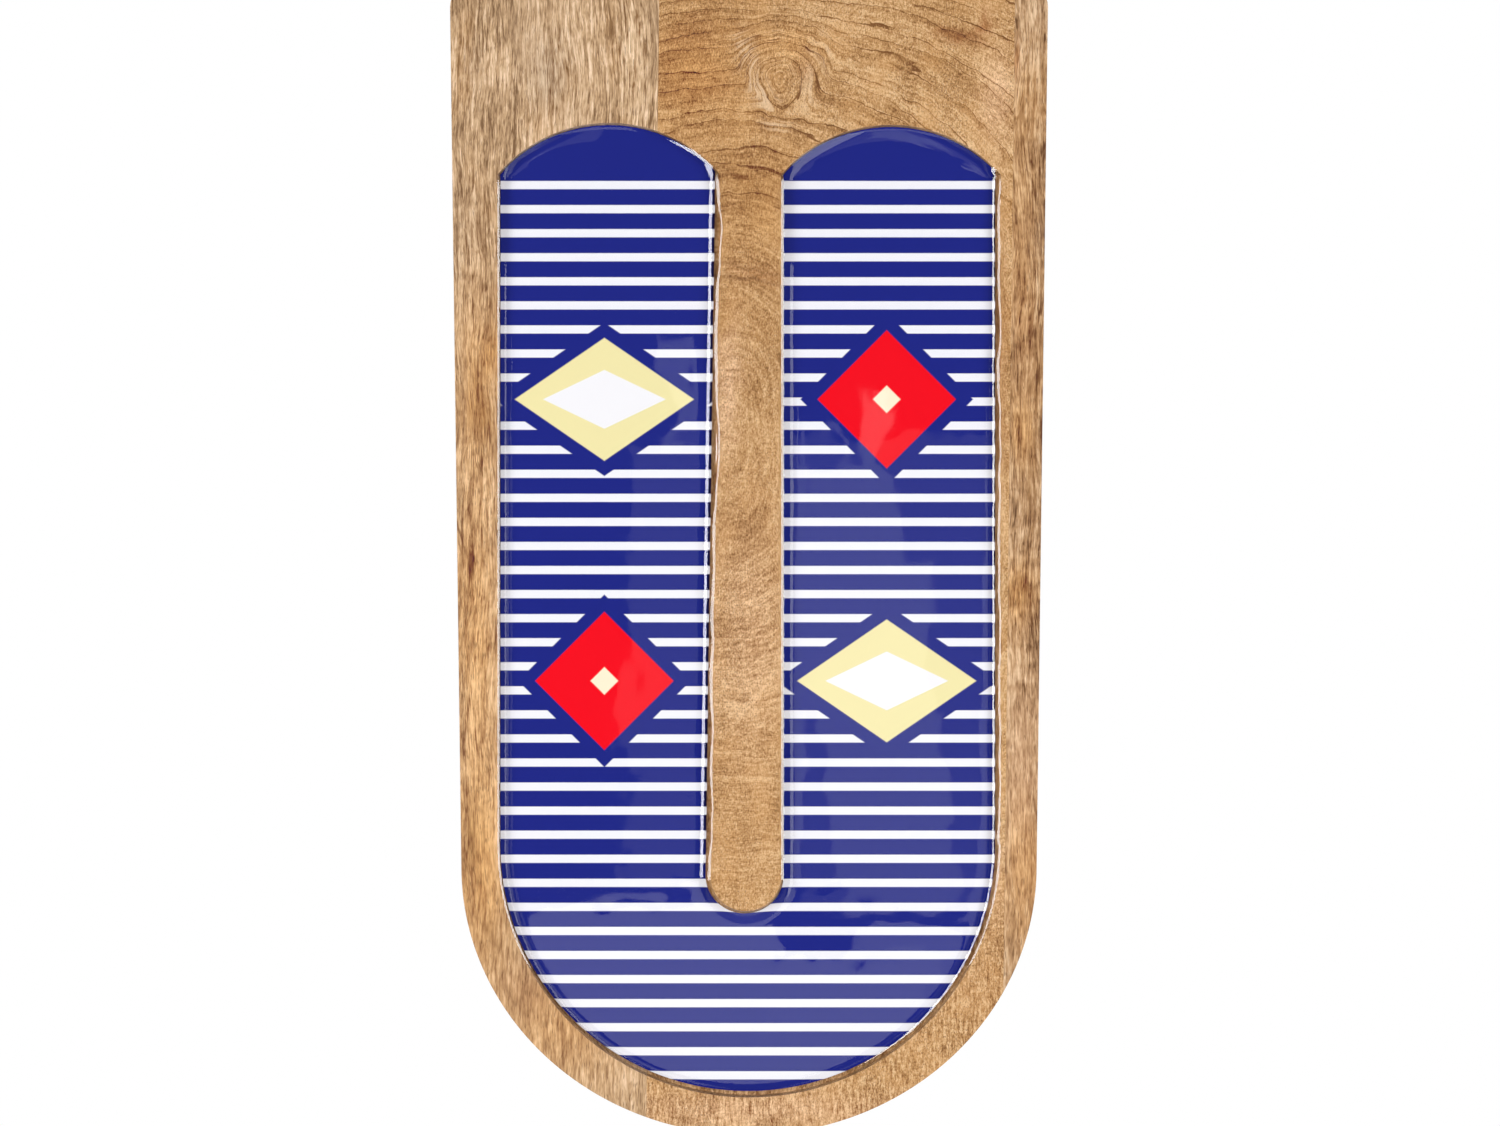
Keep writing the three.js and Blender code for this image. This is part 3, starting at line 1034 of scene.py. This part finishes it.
# How far from a wall the resin's waves start, and where they reach their full height
WAVE_START = (3.5 * MM, 9 * MM)

# Over this distance from the mouth's edge the resin stops following its wobble
MOUTH_TO_WALL = (0.5 * MM, 2.6 * MM)

# Above the shoulder the climb turns into the gentler one of the tops
TOP_CLIMB_START = (-3 * MM, 5 * MM)

# The undercut is this much wider than the head's way in, so that their outlines stay apart
UNDERCUT_GROWTH = 1.01

# Spacing down the arms and steps round the bend
PRINT_STEPS = (8 * MM, 90)
RESIN_STEPS = (2.5 * MM, 160)


def carved_board(board):
    """The whole board with its recess and keyhole, before it is sawn into staves."""
    bm = bmesh.new()
    forwards = (0, -1, 0)
    backwards = (0, 1, 0)
    rim = ring(bm, board_outline(board), FACE_Y)
    mouth_outline = Channel(board, wobble=board.mouth_wobble).outline(*MOUTH_STEPS)
    mouth = ring(bm, mouth_outline, FACE_Y)
    fill(bm, rim + mouth, forwards)
    recess_floor = draw_down(bm, mouth, board.recess_depth)
    fill(bm, recess_floor, forwards)
    back = draw_down(bm, rim, BACK_Y - FACE_Y)
    heights = (board.keyhole_entry, board.keyhole_top)
    narrow = slot_outline(*heights, board.keyhole_head, board.keyhole_neck)
    wide_radius = board.keyhole_head * UNDERCUT_GROWTH
    wide = slot_outline(*heights, wide_radius, wide_radius)
    slot = ring(bm, narrow, BACK_Y)
    fill(bm, back + slot, backwards)
    lip = draw_down(bm, slot, -board.keyhole_lip)
    undercut = ring(bm, wide, BACK_Y - board.keyhole_lip)
    fill(bm, lip + undercut, forwards)
    slot_end = draw_down(bm, undercut, board.keyhole_lip - board.keyhole_depth)
    fill(bm, slot_end, backwards)
    bmesh.ops.recalc_face_normals(bm, faces=bm.faces[:])
    round_edges(bm, [e for e in rim + back if e.is_valid], board.edge_round, EDGE_SEGMENTS)
    round_edges(bm, [e for e in mouth if e.is_valid], board.mouth_round, MOUTH_SEGMENTS)
    return bm


def saw(bm, x_at_middle, slant, keep_right):
    """Cuts the board along a glue joint, keeps one side and closes the cut."""
    along = Vector((slant, 0, 1)).normalized()
    across = Vector((along.z, 0, -along.x))
    made = bmesh.ops.bisect_plane(
        bm, geom=bm.verts[:] + bm.edges[:] + bm.faces[:], dist=1e-7,
        plane_co=(x_at_middle, 0, 0), plane_no=across,
        clear_outer=not keep_right, clear_inner=keep_right,
    )
    cut = [g for g in made["geom_cut"] if isinstance(g, bmesh.types.BMEdge) and g.is_valid]
    fill(bm, cut, -across if keep_right else across)


class PLAQUE_OT_staves(bpy.types.Operator):
    """Builds the three glued staves with the recess and the keyhole cut in them"""

    bl_idname = "plaque.staves"
    bl_label = "Build Staves"

    def execute(self, context):
        board = context.scene.plaque_board
        wood = context.scene.plaque_wood
        gap = board.glue_line / 2
        straight = upright_wood(wood, "straight", STRAIGHT_STAINS, *STRAIGHT_GRAIN)
        flat_sawn = flat_sawn_wood(wood)
        streaked = upright_wood(wood, "streaked", STREAKED_STAINS, *STREAKED_GRAIN)
        staves = {
            "left_stave": (None, board.left_joint - gap, straight, "wood_straight"),
            "centre_stave": (
                board.left_joint + gap, board.right_joint - gap, flat_sawn, "wood_flat_sawn"),
            "right_stave": (board.right_joint + gap, None, streaked, "wood_streaked"),
        }
        whole = carved_board(board)
        for name, (left, right, material, slot_name) in staves.items():
            bm = whole.copy()
            if left is not None:
                saw(bm, left, board.joint_slant, True)
            if right is not None:
                saw(bm, right, board.joint_slant, False)
            piece = add_piece(name + "_wood", bm, material, name, slot_name, SHARP_ANGLE)
            weight_normals(piece)
        whole.free()
        return {"FINISHED"}


def channel_sheet(channel, spacing, bend_steps, surface_y):
    """A sheet of quads over the U. surface_y gives each point's depth from its place."""
    rungs = channel.rungs(spacing, bend_steps)
    half = crowded(spacing, (channel.outer_right - channel.inner_right) / 2)
    across = [share / 2 for share in half] + [1 - share / 2 for share in reversed(half[:-1])]
    bm = bmesh.new()
    bmesh.ops.create_grid(bm, x_segments=len(rungs) - 1, y_segments=len(across) - 1, size=0.5)
    for vert in bm.verts:
        rung = rungs[round((vert.co.x + 0.5) * (len(rungs) - 1))]
        x, z = channel.point(rung, across[round((vert.co.y + 0.5) * (len(across) - 1))])
        vert.co = Vector((x, surface_y(x, z), z))
    return bm


def thicken(bm, back_y):
    """Turns a sheet into a closed slab with a flat back."""
    made = bmesh.ops.extrude_face_region(bm, geom=bm.faces[:], use_keep_orig=True)["geom"]
    for vert in (g for g in made if isinstance(g, bmesh.types.BMVert)):
        vert.co.y = back_y
    bmesh.ops.recalc_face_normals(bm, faces=bm.faces[:])


class PLAQUE_OT_print(bpy.types.Operator):
    """Builds the printed panel on the recess's floor"""

    bl_idname = "plaque.print"
    bl_label = "Build Printed Panel"

    def execute(self, context):
        board = context.scene.plaque_board
        settings = context.scene.plaque_print
        gaps = (settings.left_gap, settings.right_gap, settings.top_gap, settings.bend_gap)
        channel = Channel(board, *gaps)
        bm = channel_sheet(channel, *PRINT_STEPS, lambda x, z: PANEL_LOW.y)
        thicken(bm, PANEL_LOW.y + settings.thickness)
        ink = print_ink(settings, board)
        add_piece("printed_sheet", bm, ink, "printed_panel", "print", SHARP_ANGLE)
        return {"FINISHED"}


def share_between(value, low, high):
    """0 below the low value, 1 above the high one, with an even blend between them."""
    share = min(1.0, max(0.0, (value - low) / (high - low)))
    return share * share * (3 - 2 * share)


def distance_to(outline):
    """Gives a function that measures how far a place lies from a closed outline."""
    corners = [Vector(point) for point in outline]
    tree = kdtree.KDTree(len(corners))
    for index, corner in enumerate(corners):
        tree.insert((*corner, 0), index)
    tree.balance()

    def measure(x, z):
        place = Vector((x, z))
        index = tree.find((x, z, 0))[1]
        near = corners[index]
        best = (place - near).length
        for other in (corners[index - 1], corners[(index + 1) % len(corners)]):
            run = other - near
            share = min(1.0, max(0.0, (place - near).dot(run) / run.length_squared))
            best = min(best, (place - near - run * share).length)
        return best

    return measure


class PLAQUE_OT_resin(bpy.types.Operator):
    """Pours the clear resin over the print, with its climb up the walls and its slow waves"""

    bl_idname = "plaque.resin"
    bl_label = "Pour Resin"

    def execute(self, context):
        board = context.scene.plaque_board
        settings = context.scene.plaque_resin
        reach_in = [-settings.overlap] * 4
        channel = Channel(board, *reach_in, wobble=board.mouth_wobble)
        wall_distance = distance_to(Channel(board).outline(*WALL_MEASURE_STEPS))
        mouth_distance = distance_to(channel.outline(*MOUTH_MEASURE_STEPS))
        level = FACE_Y + settings.level

        def surface_y(x, z):
            """The resin's level with its climb near a wall and its waves."""
            to_mouth = mouth_distance(x, z)
            start, end = MOUTH_TO_WALL
            inwards = min(1.0, max(0.0, (to_mouth - start) / (end - start)))
            reach = to_mouth + (wall_distance(x, z) - to_mouth) * inwards
            rim = max(0.0, settings.rim_width - reach)
            steeper = (settings.wall_slope - settings.rim_slope) * rim / settings.rim_width / 2
            tail = math.exp(-max(0.0, reach - settings.rim_width) / settings.climb_reach)
            climb = (settings.rim_slope + steeper) * rim
            climb += settings.rim_slope * settings.climb_reach * tail
            top_climb = settings.top_slope * settings.top_reach * math.exp(-reach / settings.top_reach)
            top_climb *= channel.apex_share(x)
            up_top = share_between(z - board.shoulder, *TOP_CLIMB_START)
            climb += (top_climb - climb) * up_top
            wave = settings.wave * noise.noise(Vector((x, 0.5, z)) / settings.wave_size)
            wave += settings.ripple * noise.noise(Vector((x, 0.7, z)) / settings.ripple_size)
            return level - climb - wave * share_between(reach, *WAVE_START)

        bm = channel_sheet(channel, *RESIN_STEPS, surface_y)
        thicken(bm, FACE_Y + board.recess_depth)
        resin = clear_resin(settings)
        piece = add_piece(
            "poured_resin", bm, resin, "resin_coat", "clear_resin", RESIN_SHARP_ANGLE)
        piece.visible_shadow = False
        piece.visible_diffuse = False
        return {"FINISHED"}


# Stage

# Soft lights that look at the face's middle: azimuth and elevation in degrees, distance, width and
# height, and watts. The narrow upright ones make the lines along the resin's rim.
ROUND_LIGHTS = {
    "left_strip": (-12.5, 1.5, 1.86, 0.25, 0.62, 7.2),
    "right_strip": (9.0, -2, 1.86, 0.18, 0.60, 0.95),
    "left_side": (-54, 0, 1.3, 0.42, 0.66, 10.1),
    "right_side": (54, 0, 1.3, 0.42, 0.66, 10.1),
    "table_glow": (0, -34, 1.4, 1.2, 1.0, 1.5),
}

# Square lights for the back and top and for the floor: place, target, side and watts
FLOOR_WASH_HEIGHT = CAD_LOW.z - 0.7
SQUARE_LIGHTS = {
    "overhead": ((0, 1.2, 1.6), (0, 0.2, -0.4), 1.8, 44.0),
    "floor_wash": ((0, 0, FLOOR_WASH_HEIGHT), (0, 0, FLOOR_WASH_HEIGHT - 1), 4.6, 46.0),
}

# White seen behind the plaque, and the dim grey room for everything that mirrors or scatters
SEEN_STRENGTH = 1.0
ROOM_STRENGTH = 0.10
FLOOR_ROUGHNESS = 0.9

# Dim cards beside the camera that the flat resin mirrors, as left, bottom, right and top in mm
# and radiance
CARD_DISTANCE = 1.82
SHEEN_CARDS = {
    "card_tongue": (88, 60, 103, 128, 1.2),
    "card_finger": (65, 53, 73, 108, 0.9),
    "card_upper": (46, 0, 112, 66, 1.1),
    "card_middle": (30, -122, 143, 0, 1.1),
    "card_right": (59, -212, 156, -122, 1.1),
    "card_blotchy": (66, -268, 166, -212, 1.0),
    "card_low_left": (-200, -420, 20, -270, 1.45),
    "card_low": (20, -420, 300, -318, 1.5),
    "card_low_right": (88, -318, 170, -284, 1.2),
    "card_left": (-66, 92, -48, 172, 1.0),
    "haze_left": (-97, -259, -40, 100, 0.45),
    "haze_right": (20, -268, 190, 100, 0.4),
}


def soft_light(name, place, target, width, height, watts):
    """A rectangular soft light that looks at a point."""
    data = bpy.data.lights.new(name, "AREA")
    data.shape = "RECTANGLE"
    data.size = width
    data.size_y = height
    data.energy = watts
    light = add_object(name, data)
    light.location = place
    light.visible_camera = False
    light.rotation_euler = (Vector(target) - Vector(place)).to_track_quat("-Z", "Y").to_euler()


def round_the_plaque(azimuth, elevation, distance):
    """A place seen from the plaque's middle: azimuth 0 is in front of it and 90 to its right."""
    turn = math.radians(azimuth)
    rise = math.radians(elevation)
    level = distance * math.cos(rise)
    return (level * math.sin(turn), -level * math.cos(turn), distance * math.sin(rise))


class PLAQUE_OT_stage(bpy.types.Operator):
    """Builds the camera, the pale floor and the studio lights"""

    bl_idname = "plaque.stage"
    bl_label = "Build Stage"

    def execute(self, context):
        scene = context.scene
        stage = scene.plaque_stage
        self.place_camera(scene, stage)
        self.lay_floor(stage)
        self.light()
        self.tint_world(scene)
        scene.view_settings.view_transform = "Standard"
        scene.view_settings.look = "None"
        return {"FINISHED"}

    def place_camera(self, scene, stage):
        """Looks straight at the face with the picture's framing."""
        data = bpy.data.cameras.new("camera")
        data.sensor_width = 36
        data.lens = data.sensor_width * stage.distance / (stage.photo_width * stage.pixel)
        data.dof.use_dof = False
        camera = add_object("camera", data)
        centre_x = (stage.photo_width / 2 - stage.origin_column) * stage.pixel
        centre_z = (stage.origin_row - stage.photo_height / 2) * stage.pixel
        camera.location = (centre_x, FACE_Y - stage.distance, centre_z)
        camera.rotation_euler = (math.pi / 2, 0, 0)
        scene.camera = camera

    def lay_floor(self, stage):
        """A plain pale floor below the plaque."""
        bm = bmesh.new()
        bmesh.ops.create_grid(bm, x_segments=1, y_segments=1, size=stage.floor_half)
        bmesh.ops.translate(bm, verts=bm.verts[:], vec=(0, 0, CAD_LOW.z - stage.floor_drop))
        paint = material_graph("floor").finish(stage.floor_colour, FLOOR_ROUGHNESS)
        floor = add_mesh("floor", bm, paint)

    def light(self):
        """The lights round the plaque, above it and over the floor, and the cards."""
        middle = (0, FACE_Y, 0.0)
        for name, (azimuth, elevation, distance, width, height, watts) in ROUND_LIGHTS.items():
            place = round_the_plaque(azimuth, elevation, distance)
            soft_light(name, place, middle, width, height, watts)
        for name, (place, target, side, watts) in SQUARE_LIGHTS.items():
            soft_light(name, place, target, side, side, watts)
        card_y = FACE_Y - CARD_DISTANCE
        for name, (left, bottom, right, top, radiance) in SHEEN_CARDS.items():
            width = (right - left) * MM
            height = (top - bottom) * MM
            place = ((left + right) / 2 * MM, card_y, (bottom + top) / 2 * MM)
            watts = radiance * math.pi * width * height
            soft_light(name, place, (place[0], 0, place[2]), width, height, watts)

    def tint_world(self, scene):
        """One strength for what the camera sees and one for every other ray."""
        scene.world = bpy.data.worlds.new("studio")
        g = Graph(scene.world, "OutputWorld")
        white = {"Color": (1, 1, 1)}
        room = g.node("Background", {**white, "Strength": ROOM_STRENGTH}).outputs[0]
        seen = g.node("Background", {**white, "Strength": SEEN_STRENGTH}).outputs[0]
        by_camera = g.node("LightPath").outputs["Is Camera Ray"]
        g.show(g.node("MixShader", (by_camera, room, seen)))


OPERATORS = (PLAQUE_OT_staves, PLAQUE_OT_print, PLAQUE_OT_resin, PLAQUE_OT_stage)


class PLAQUE_PT_panel(bpy.types.Panel):
    """Sizes, colours and build buttons in the sidebar"""

    bl_idname = "PLAQUE_PT_panel"
    bl_label = "Inlaid Wood Plaque"
    bl_space_type = "VIEW_3D"
    bl_region_type = "UI"
    bl_category = "Plaque"

    def draw(self, context):
        for setting_name in SETTINGS:
            settings = getattr(context.scene, setting_name)
            box = self.layout.box()
            for key in settings.__annotations__:
                box.prop(settings, key)
        for operator in OPERATORS:
            self.layout.operator(operator.bl_idname)


CLASSES = (*SETTINGS.values(), *OPERATORS, PLAQUE_PT_panel)


def register():
    for cls in CLASSES:
        bpy.utils.register_class(cls)
    for setting_name, cls in SETTINGS.items():
        setattr(bpy.types.Scene, setting_name, PointerProperty(type=cls))


def unregister():
    for setting_name in SETTINGS:
        delattr(bpy.types.Scene, setting_name)
    for cls in reversed(CLASSES):
        bpy.utils.unregister_class(cls)


def main():
    register()
    bpy.ops.plaque.staves()
    bpy.ops.plaque.print()
    bpy.ops.plaque.resin()
    bpy.ops.plaque.stage()


if __name__ == "__main__":
    main()
